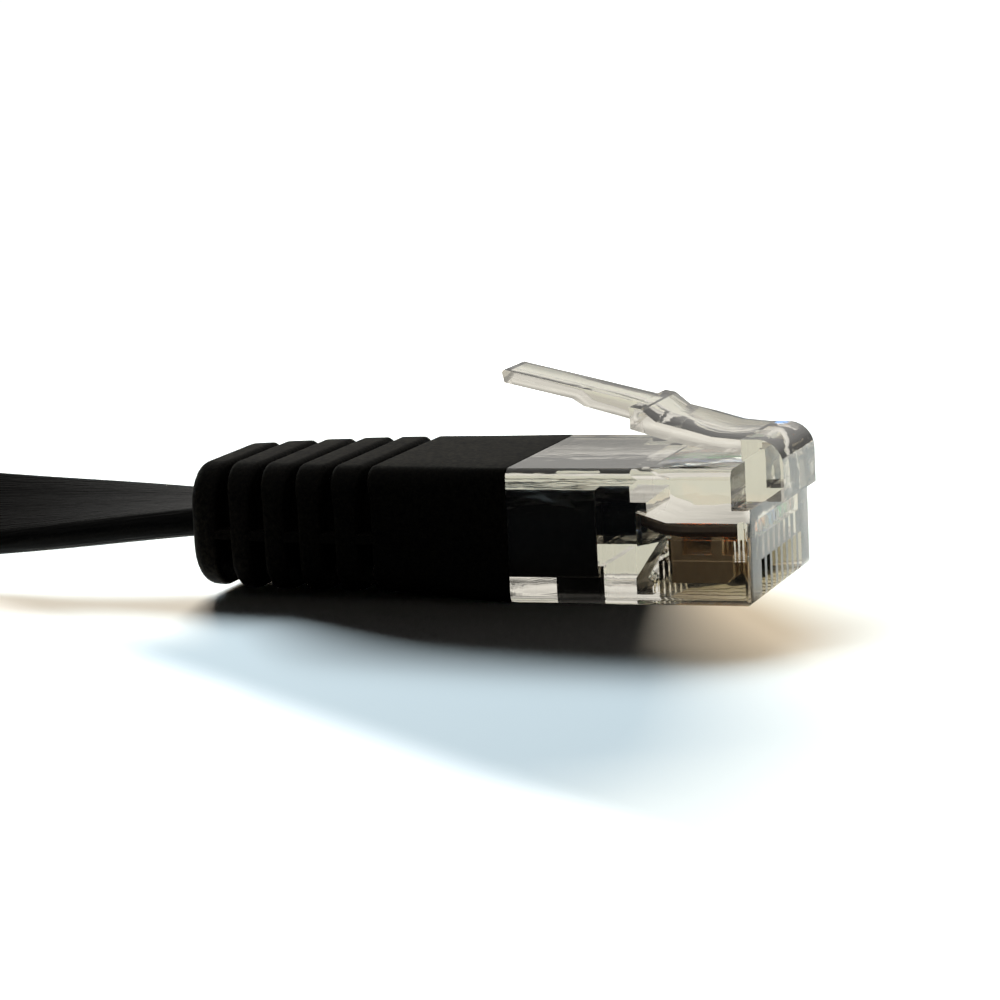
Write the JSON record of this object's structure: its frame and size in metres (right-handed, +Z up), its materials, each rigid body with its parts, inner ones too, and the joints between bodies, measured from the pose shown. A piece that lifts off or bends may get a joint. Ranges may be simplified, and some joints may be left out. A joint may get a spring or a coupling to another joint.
{
  "type": "flat ethernet patch lead",
  "caption": "Flat black network patch lead with a clear modular plug, sprung latch and ribbed strain-relief boot at each end, stored with its slack in a strapped coil.",
  "frame": {"origin": "middle of the near plug and boot in plan, on the floor under them", "axes": "+X out of the near plug's nose, +Y across its contacts from the first to the last, +Z up through its latch; the cable leaves toward -X"},
  "size_m": [0.1154, 0.086, 0.0117],
  "materials": {
    "clear_plastic": "clear glossy polycarbonate with a faint warm grey tint",
    "boot_plastic": "black, fine moulded grain",
    "cable_jacket": "black satin with faint lengthwise ridges",
    "contact_gold": "gold plate",
    "strap_fabric": "black woven loop strap",
    "wire_white_orange": "satin wire insulation",
    "wire_orange": "satin wire insulation",
    "wire_white_green": "satin wire insulation",
    "wire_blue": "satin wire insulation",
    "wire_white_blue": "satin wire insulation",
    "wire_green": "satin wire insulation",
    "wire_white_brown": "satin wire insulation",
    "wire_brown": "satin wire insulation"
  },
  "bodies": {
    "lead": {"near_housing": "clear_plastic", "near_boot": "boot_plastic", "near_contact_1": "contact_gold", "near_wire_1": "wire_white_orange", "near_contact_2": "contact_gold", "near_wire_2": "wire_orange", "near_contact_3": "contact_gold", "near_wire_3": "wire_white_green", "near_contact_4": "contact_gold", "near_wire_4": "wire_blue", "near_contact_5": "contact_gold", "near_wire_5": "wire_white_blue", "near_contact_6": "contact_gold", "near_wire_6": "wire_green", "near_contact_7": "contact_gold", "near_wire_7": "wire_white_brown", "near_contact_8": "contact_gold", "near_wire_8": "wire_brown", "far_housing": "clear_plastic", "far_boot": "boot_plastic", "far_contact_1": "contact_gold", "far_wire_1": "wire_white_orange", "far_contact_2": "contact_gold", "far_wire_2": "wire_orange", "far_contact_3": "contact_gold", "far_wire_3": "wire_white_green", "far_contact_4": "contact_gold", "far_wire_4": "wire_blue", "far_contact_5": "contact_gold", "far_wire_5": "wire_white_blue", "far_contact_6": "contact_gold", "far_wire_6": "wire_green", "far_contact_7": "contact_gold", "far_wire_7": "wire_white_brown", "far_contact_8": "contact_gold", "far_wire_8": "wire_brown", "cable_near": "cable_jacket", "cable_coil": "cable_jacket", "cable_far": "cable_jacket", "coil_strap": "strap_fabric"},
    "near_latch_lever": {"near_latch": "clear_plastic"},
    "far_latch_lever": {"far_latch": "clear_plastic"}
  },
  "joints": [
    {"name": "near_latch", "type": "hinge", "parent": "lead", "child": "near_latch_lever", "pos_m": [0.01313, 0, 0.0073], "axis": [0, -1, 0], "range_deg": [0, 13], "stiffness_Nm_per_rad": 0.05},
    {"name": "far_latch", "type": "hinge", "parent": "lead", "child": "far_latch_lever", "pos_m": [-0.04485, -0.05745, 0.00584], "axis": [0, 0, -1], "range_deg": [0, 13], "stiffness_Nm_per_rad": 0.05}
  ]
}
